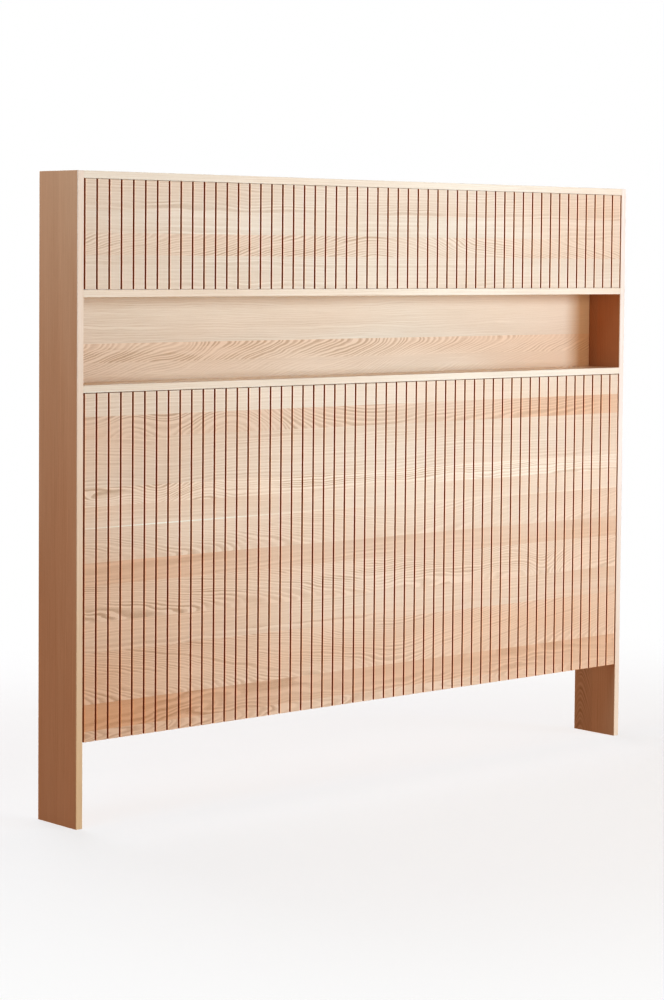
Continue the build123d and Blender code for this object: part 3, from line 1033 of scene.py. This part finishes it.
@dataclass
class GroovedFace:
    """The face veneer of a front panel, cut into strips by its grooves.

    Attributes:
        node: Name of the CAD node of its strips.
        staves: The veneer's staves, from the top down.
        count: How many strips it has.
        groove: Width of the grooves between them, in metres.
        arris: Radius of the strips' broken edges.
        right_halo_width: Width of the paler band along a strip's right edge, a painted halo of
            light.
        left_halo_width: Width of the band along its left edge, a painted halo of light and warm
            shade.
        end_draw: How far its front goes back at the ends, as a share of the rings' insets.
        edge_highlight: What is added to light, warmth and figure on the broken edges, as a painted
            highlight.
        right_halo_tone: What is added to them on the right band, as painted light.
        left_halo_tone: What is added to them on the left band, as painted light and warm shade.
    """

    node: str
    staves: tuple[Stave, ...]
    count: int = 52
    groove: float = 4.0 * MM
    arris: float = 0.45 * MM
    # Widths of the painted halos of light beside the grooves; the tones below paint them and a
    # highlight on the broken edges.
    right_halo_width: float = 2.6 * MM
    left_halo_width: float = 3.9 * MM
    end_draw: float = 0.6
    edge_highlight: Triple = (0.12, -0.4, -0.4)
    right_halo_tone: Triple = (0.09, -0.2, 0.0)
    left_halo_tone: Triple = (0.11, 0.35, 0.0)
    low: Vector = field(init=False)
    high: Vector = field(init=False)

    def __post_init__(self) -> None:
        """Reads the strips' box."""
        self.low, self.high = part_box(self.node)

    def _strip_edges(self) -> tuple[np.ndarray, np.ndarray]:
        """Left and right edge of each strip: equal strips with a groove between neighbours.

        Returns:
            The left edges and the right edges, from left to right.
        """
        pitch = (self.high.x - self.low.x + self.groove) / self.count
        left = self.low.x + pitch * np.arange(self.count)
        return left, left + pitch - self.groove

    def build(self, piece_name: str) -> bpy.types.Object:
        """Makes the strips: one cross section with two broken edges, carried up each strip.

        A point is its strip's left or right edge plus the section's offset, and at the ends
        the front is drawn back, so all four front edges are broken. A ring lies at each edge
        between staves.

        Args:
            piece_name: The new piece's name.

        Returns:
            The piece.
        """
        left, right = self._strip_edges()
        cuts = stave_edges(self.staves, self.low.z, self.high.z)[:0:-1]
        heights, insets = stations(self.low.z, self.high.z, self.arris, cuts)
        # The section has a point at the inner edge of each painted halo, so each halo gets faces
        # of its own.
        start, end = self.left_halo_width / self.arris, -self.right_halo_width / self.arris
        offset = np.array((0.0, 0.0, 0.3, 1.0, start, end, -1.0, -0.3, 0.0, 0.0)) * self.arris
        on_right = np.repeat((False, True), 5)
        depth = np.array((0.0, 1.0, 0.3, 0.0, 0.0, 0.0, 0.0, 0.3, 1.0, 0.0)) * self.arris
        x = np.where(on_right, right[:, None], left[:, None]) + offset
        y = self.low.y + depth
        y[[0, -1]] = self.high.y
        front = np.array((0, 1, 1, 1, 1, 1, 1, 1, 1, 0), float)
        drawn = y + insets[:, None] * front * self.end_draw
        rings = np.empty((self.count, len(heights), len(offset), 3))
        rings[..., 0] = x[:, None, :]
        rings[..., 1] = np.minimum(drawn, self.high.y)[None]
        rings[..., 2] = heights[None, :, None]
        piece = prism_mesh(piece_name, rings)
        facts = stave_facts(piece.data, self.staves, Lay.FRONT_LEVEL, self.low.y / MM)
        self._paint_groove_highlights(piece.data, facts)
        write_facts(piece.data, facts)
        return piece

    def _paint_groove_highlights(self, mesh: bpy.types.Mesh, facts: dict[str, np.ndarray]) -> None:
        """Makes each strip's broken edges and the bands beside them paler than its face: a painted
        highlight on the edges, and painted halos of light beside the grooves, with warm shade on
        the left band.

        Args:
            mesh: The strips' mesh.
            facts: The faces' facts, changed in place.
        """
        tone = facts["tone"].copy()
        # Painted highlight on the broken edges.
        tone[np.abs(vectors(mesh.polygons, "normal")[:, 0]) > 0.3] += self.edge_highlight
        left, right = self._strip_edges()
        centres = face_centres(mesh)[:, 0] * MM
        strip = np.clip(np.searchsorted(left, centres) - 1, 0, self.count - 1)
        # Painted halos beside each groove: light and warm shade on the left band, light on the
        # right band.
        tone[centres - left[strip] < self.left_halo_width] += self.left_halo_tone
        tone[right[strip] - centres < self.right_halo_width] += self.right_halo_tone
        facts["tone"] = tone


@dataclass
class SoftBoard:
    """A straight board or strip with broken edges.

    Attributes:
        node: Name of the CAD node that it stands for.
        lay: How the wood lies.
        staves: Its staves.
        front_arris: Radius of its front edges and of its ends' edges, in metres.
        back_arris: Radius of its back edges, in metres.
    """

    node: str
    lay: Lay
    staves: tuple[Stave, ...]
    front_arris: float
    back_arris: float
    low: Vector = field(init=False)
    high: Vector = field(init=False)

    def __post_init__(self) -> None:
        """Reads the node's box."""
        self.low, self.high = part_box(self.node)

    def build(self, piece_name: str) -> bpy.types.Object:
        """Carries a rectangle with four rounded corners along the grain.

        The section lies across the grain. At both ends it shrinks towards its middle line.

        Args:
            piece_name: The new piece's name.

        Returns:
            The piece.
        """
        along, _, inward = self.lay.value
        low, high = self.low, self.high
        first, second = 1, 2 - along
        section = self._section(first, second)
        places, insets = stations(low[along], high[along], self.front_arris)
        middle = np.array((low[first] + high[first], low[second] + high[second])) / 2
        reach = np.array((high[first] - low[first], high[second] - low[second])) / 2
        shrink = 1.0 - insets[:, None, None] / reach
        rings = np.empty((1, len(places), len(section), 3))
        placed = middle + (section - middle) * shrink
        rings[0, :, :, first] = placed[..., 0]
        rings[0, :, :, second] = placed[..., 1]
        rings[0, :, :, along] = places[:, None]
        piece = prism_mesh(piece_name, rings)
        face = low[inward] / MM
        write_facts(piece.data, stave_facts(piece.data, self.staves, self.lay, face))
        return piece

    def _section(self, first: int, second: int) -> np.ndarray:
        """Points around a rectangle with four rounded corners.

        A corner's points are its centre plus the radius times sine and cosine of 0, 45 and 90
        degrees. The long sides also have a point at each stave's edge. The first corner's
        points come in the order opposite to the others', so that edge folds over by its
        radius.

        Args:
            first: The axis of the section from front to back.
            second: Its other axis.

        Returns:
            Places on the two axes.
        """
        turn = np.radians((0.0, 45.0, 90.0))
        sine, cosine = np.sin(turn), np.cos(turn)
        low, high, front, back = self.low, self.high, self.front_arris, self.back_arris
        cuts = np.empty(0)
        if self.lay.value[1] == first:
            cuts = stave_edges(self.staves, low[first], high[first])[:0:-1]
        f0, f1, s0, s1 = low[first], high[first], low[second], high[second]
        corners = (
            (f0 + front - front * sine, s0 + front - front * cosine),
            (cuts, np.full(len(cuts), s0)),
            (f1 - back + back * sine, s0 + back - back * cosine),
            (f1 - back + back * cosine, s1 - back + back * sine),
            (cuts[::-1], np.full(len(cuts), s1)),
            (f0 + front - front * sine, s1 - front + front * cosine),
        )
        return np.concatenate([np.stack(corner, axis=1) for corner in corners])


@dataclass
class Facing:
    """Both grooved faces, with their brown cores behind them."""

    def build(self) -> None:
        """Builds and dresses both veneers, and gives the cores their finish."""
        # ends, rise and fall paint light and shade across each panel's width: warmer, darker ends
        # and a lighter right side.
        lower = AshFinish(
            "ash_face_lower", Lay.FRONT_LEVEL, ends=0.4, rise=0.035, fall=0.035, fade=0.45
        )
        upper = AshFinish(
            "ash_face_upper", Lay.FRONT_LEVEL, ends=0.25, rise=0.03, fall=0.035, fade=0.35
        )
        for ash, node, staves, name in (
            (lower, "lower_face_strips", LOWER_STAVES, "lower_face_veneer"),
            (upper, "upper_face_strips", UPPER_STAVES, "upper_face_veneer"),
        ):
            piece = GroovedFace(node, staves).build(name)
            place_piece(piece, ash.material(), "ash_face_veneer", node)
        brown = FibreboardFinish(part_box("lower_front_panel")[1].y / MM)
        dress_nodes(brown.material(), "lower_front_panel", "upper_front_panel")


@dataclass
class Carcass:
    """The side boards, the boards between them and their lippings.

    Attributes:
        arris: Radius of the edges that show, in metres.
        joined_arris: Radius of the edges where a lipping is glued to its board.
    """

    arris: float = 0.5 * MM
    joined_arris: float = 0.04 * MM

    def build(self) -> None:
        """Builds the side boards and lippings, and dresses the boards that keep their mesh."""
        for node, staves, rise in (
            ("side_panel_left", LEFT_SIDE_STAVES, 0.0),
            ("side_panel_right", RIGHT_SIDE_STAVES, 0.04),
        ):
            # The side boards' ash is darker and redder than the front's: partly the veneer's own
            # warmer tone and partly painted shade on faces turned away from the key light. The
            # right board's rise makes it lighter towards its top.
            ash = AshFinish(
                f"ash_{node}",
                Lay.SIDE_UPRIGHT,
                pale=(0.69, 0.475, 0.335),
                brown=(0.53, 0.32, 0.19),
                rise=rise,
            )
            board = SoftBoard(node, ash.lay, staves, self.joined_arris, self.arris)
            place_piece(board.build(f"{node}_board"), ash.material(), "ash_veneered_board", node)
        upright = AshFinish("ash_lipping_upright", Lay.FRONT_UPRIGHT, blush=(0.965, 0.9, 0.755))
        # rise and fall paint the level lippings lighter towards the right and darker at both ends.
        level = AshFinish("ash_lipping_level", Lay.FRONT_LEVEL, rise=0.03, fall=0.02)
        level_nodes = ("top_board_lipping", "upper_shelf_lipping", "lower_shelf_lipping")
        upright_staves = {
            "side_lipping_left": LEFT_LIPPING_STAVES,
            "side_lipping_right": RIGHT_LIPPING_STAVES,
        }
        level_staves = dict.fromkeys(level_nodes, LEVEL_LIPPING_STAVES)
        for ash, lippings in ((upright, upright_staves), (level, level_staves)):
            finish = ash.material()
            for node, staves in lippings.items():
                strip = SoftBoard(node, ash.lay, staves, self.arris, self.joined_arris)
                place_piece(strip.build(f"{node}_strip"), finish, "ash_lipping", node)
        self._dress_boards()

    def _dress_boards(self) -> None:
        """Gives the top board, the shelves and the niche back their ash by place."""
        top = ash_by_place(
            "ash_top_board", Lay.TOP_LEVEL, BOARD_STAVES, "top_board", roughness=0.75
        )
        dress_nodes(top.material(), "top_board")
        shelves = replace(top, name="ash_shelves", roughness=0.3)
        dress_nodes(shelves.material(), "upper_shelf", "lower_shelf")
        # ends and rise paint warmer ends and a lighter right end on the niche back, against the
        # shade of the right wall.
        looks = {"ends": 0.2, "rise": 0.02, "fade": 0.55}
        back = ash_by_place(
            "ash_niche_back", Lay.FRONT_LEVEL, NICHE_STAVES, "niche_back_panel", **looks
        )
        dress_nodes(back.material(), "niche_back_panel")


@dataclass
class Fittings:
    """Rails, uprights and everything that joins the boards."""

    def build(self) -> None:
        """Gives the rails, uprights, dowels and metal fittings their finishes."""
        dress_nodes(
            ChipboardFinish().material(),
            "upper_rear_rail",
            "lower_rail",
            "upper_centre_upright",
            "lower_centre_upright",
        )
        cast = MetalFinish(
            "cast_zinc", (0.42, 0.43, 0.44), (0.62, 0.63, 0.64), 0.5, 1.8, 0.05 * MM
        )
        dress_nodes(cast.material(), "cam_locks")
        plated = MetalFinish(
            "zinc_plated_steel", (0.60, 0.61, 0.62), (0.80, 0.80, 0.79), 0.32, 3.0, 0.01 * MM
        )
        dress_nodes(
            plated.material(),
            "cam_bolts",
            "back_panel_screws",
            "rail_screws",
            "angle_brackets",
            "bracket_screws",
            "keyhole_plates",
            "keyhole_plate_screws",
        )
        dress_nodes(BeechFinish().material(), "board_dowels", "panel_dowels")


def place_piece(
    piece: bpy.types.Object, finish: bpy.types.Material, slot: str, *nodes: str
) -> None:
    """Dresses a new piece and ties it to the frame.

    Args:
        piece: The piece.
        finish: Its material.
        slot: The record's slot for its finish; not used.
        nodes: The CAD nodes that it stands for.
    """
    piece.data.materials.append(finish)
    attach(piece, "root")
    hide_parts(*nodes)
    log.info("%s: %d faces for %s", piece.name, len(piece.data.polygons), ", ".join(nodes))


def dress_nodes(finish: bpy.types.Material, *nodes: str) -> None:
    """Gives CAD nodes a finish and leaves their meshes as they are.

    Args:
        finish: The material.
        nodes: The nodes' names.
    """
    for name in nodes:
        for material_slot in bpy.data.objects[name].material_slots:
            material_slot.material = finish
        log.info("%s: dressed in %s", name, finish.name)


@dataclass
class Camera:
    """The photographer's camera, left of the middle and a little below the top edge.

    Attributes:
        place: Where it stands, in metres.
        pan: How far it is turned to the right of the front's normal, in degrees.
        tilt: How far it looks down, in degrees.
        roll: How far its right side is raised, in degrees.
        lens: Focal length on a sensor whose long side is 36 mm.
        shift_right: How far the frame is moved sideways, as a share of its long side.
        shift_down: How far it is moved up or down.
    """

    place: Triple = (-3.82594, -4.16932, 1.13874)
    pan: float = 42.0223
    tilt: float = 3.2219
    roll: float = 0.4808
    lens: float = 93.45
    shift_right: float = -0.0007
    shift_down: float = -0.0988

    def build(self) -> None:
        """Adds the camera and makes it the scene's own."""
        data = bpy.data.cameras.new("photo_camera")
        data.sensor_fit = "AUTO"
        data.sensor_width = 36.0
        data.lens = self.lens
        data.shift_x = self.shift_right
        data.shift_y = self.shift_down
        pan, tilt, roll = (math.radians(angle) for angle in (self.pan, self.tilt, self.roll))
        forward = Vector(
            (math.sin(pan) * math.cos(tilt), math.cos(pan) * math.cos(tilt), -math.sin(tilt))
        )
        level = Vector((math.cos(pan), -math.sin(pan), 0.0))
        upward = level.cross(forward)
        right = level * math.cos(roll) + upward * math.sin(roll)
        up = upward * math.cos(roll) - level * math.sin(roll)
        turn = Matrix((right, up, -forward)).transposed().to_4x4()
        camera = bpy.data.objects.new("photo_camera", data)
        camera.matrix_world = Matrix.Translation(self.place) @ turn
        bpy.context.scene.collection.objects.link(camera)
        bpy.context.scene.camera = camera


@dataclass(frozen=True)
class Softbox:
    """A square area light.

    Attributes:
        name: Its name.
        place: Where it hangs, in metres.
        aim: What it points at, in metres.
        size: Its side, in metres.
        power: Its power, in watts.
        colour: Its colour.
    """

    name: str
    place: Triple
    aim: Triple
    size: float
    power: float
    colour: Colour

    def build(self) -> None:
        """Hangs the light."""
        data = bpy.data.lights.new(self.name, "AREA")
        data.shape = "SQUARE"
        data.size = self.size
        data.energy = self.power
        data.color = self.colour
        lamp = bpy.data.objects.new(self.name, data)
        toward = Vector(self.aim) - Vector(self.place)
        lamp.matrix_world = Matrix.Translation(self.place) @ toward.to_track_quat(
            "-Z", "Y"
        ).to_matrix().to_4x4()
        lamp.visible_camera = False
        bpy.context.scene.collection.objects.link(lamp)


@dataclass
class Studio:
    """The room: a white surround, a pale floor that fades out, and soft light.

    Attributes:
        lights: The softboxes.
        overhead: Colour and strength of the light from straight above.
        underfoot: Colour and strength of the light from straight below.
        floor_radius: Radius of the floor, in metres.
        contrast: Gamma of the print; below 1 it deepens the shadows and their colour.
    """

    lights: tuple[Softbox, ...] = (
        Softbox("key", (3.4, -4.6, 1.3), (0.0, 0.0, 0.8), 2.2, 240.0, (0.53, 0.77, 1.0)),
        Softbox("near", (0.4, -3.0, 1.2), (0.1, 0.0, 0.9), 1.4, 29.0, (0.95, 0.90, 0.72)),
        Softbox("left", (-2.0, -0.3, 2.1), (-0.8, 0.0, 1.1), 1.0, 21.5, (0.47, 0.78, 1.0)),
        Softbox("back", (0.6, 3.6, 2.2), (0.0, 0.0, 0.7), 2.4, 135.0, (0.70, 0.86, 1.0)),
        Softbox("top", (0.0, 0.5, 3.4), (0.0, 0.3, 1.3), 1.0, 20.0, (0.95, 0.93, 0.90)),
    )
    overhead: Colour = (0.20, 0.13, 0.09)
    underfoot: Colour = (0.84, 0.49, 0.25)
    floor_radius: float = 2.4
    contrast: float = 0.7

    def build(self) -> None:
        """Lights the room and lays the floor."""
        scene = bpy.context.scene
        scene.view_settings.view_transform = "Standard"
        scene.view_settings.gamma = self.contrast
        for light in self.lights:
            light.build()
        self._surround()
        self._floor()

    def _surround(self) -> None:
        """White where the camera looks past the object, and elsewhere a dim light.

        The dim light's colour goes from the underfoot one to the overhead one with the height
        that a ray points to, from -1 to 1.
        """
        w = Wiring(bpy.data.worlds.new("surround"))
        height = w.parts(w.add("ShaderNodeTexCoord").outputs["Generated"])[2]
        share = w.result("ShaderNodeMapRange", height, -1.0)
        glow = w.blend(share, self.underfoot, self.overhead)
        glow = w.result("ShaderNodeBackground", glow)
        white = w.result("ShaderNodeBackground", (1.0, 1.0, 1.0, 1.0))
        seen = w.add("ShaderNodeLightPath").outputs["Is Camera Ray"]
        mixed = w.result("ShaderNodeMixShader", seen, glow, white)
        bpy.context.scene.world = w.close(mixed, "ShaderNodeOutputWorld")

    def _floor(self) -> None:
        """A pale disc on the ground that turns clear towards its rim.

        Its points are rings of growing radius about the origin: radius times cosine and sine
        of the angle.
        """
        angles = np.linspace(0.0, 2.0 * math.pi, 96, endpoint=False)
        radii = self.floor_radius * np.array((0.02, 0.4, 0.7, 1.0))
        points = np.zeros((len(radii), len(angles), 3))
        points[..., 0] = radii[:, None] * np.cos(angles)
        points[..., 1] = radii[:, None] * np.sin(angles)
        index = np.arange(points[..., 0].size).reshape(len(radii), len(angles))
        turned = np.roll(index, -1, axis=1)
        quads = np.stack((index[:-1], index[1:], turned[1:], turned[:-1]), axis=-1)
        faces = quads.reshape(-1, 4).tolist() + [index[0].tolist()]
        mesh = bpy.data.meshes.new("studio_floor")
        mesh.from_pydata(points.reshape(-1, 3).tolist(), [], faces)
        floor = bpy.data.objects.new("studio_floor", mesh)
        bpy.context.scene.collection.objects.link(floor)
        mesh.materials.append(self._floor_finish())

    def _floor_finish(self) -> bpy.types.Material:
        """Matt white with a trace of unevenness, clear towards the rim.

        Returns:
            The material.
        """
        w = Wiring(bpy.data.materials.new("studio_floor"))
        place = w.place()
        uneven = w.noise(w.scaled(place, 0.004))
        x, y, _ = w.parts(place)
        rim = self.floor_radius / MM
        clear = w.ease(w.length(x, y), rim * 0.3, rim * 0.98, 0.78, 1.0)
        colour = w.blend(uneven, (0.80, 0.72, 0.70), (0.84, 0.76, 0.74))
        matt = w.result("ShaderNodeBsdfDiffuse", colour)
        gone = w.result("ShaderNodeBsdfTransparent")
        mixed = w.result("ShaderNodeMixShader", clear, matt, gone)
        return w.close(mixed, "ShaderNodeOutputMaterial")


def main() -> None:
    """Builds the pieces, dresses the frame and sets up the studio."""
    logging.basicConfig(level=logging.INFO, format="%(name)s: %(message)s")
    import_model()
    Facing().build()
    Carcass().build()
    Fittings().build()
    Studio().build()
    Camera().build()


if __name__ == "__main__":
    main()
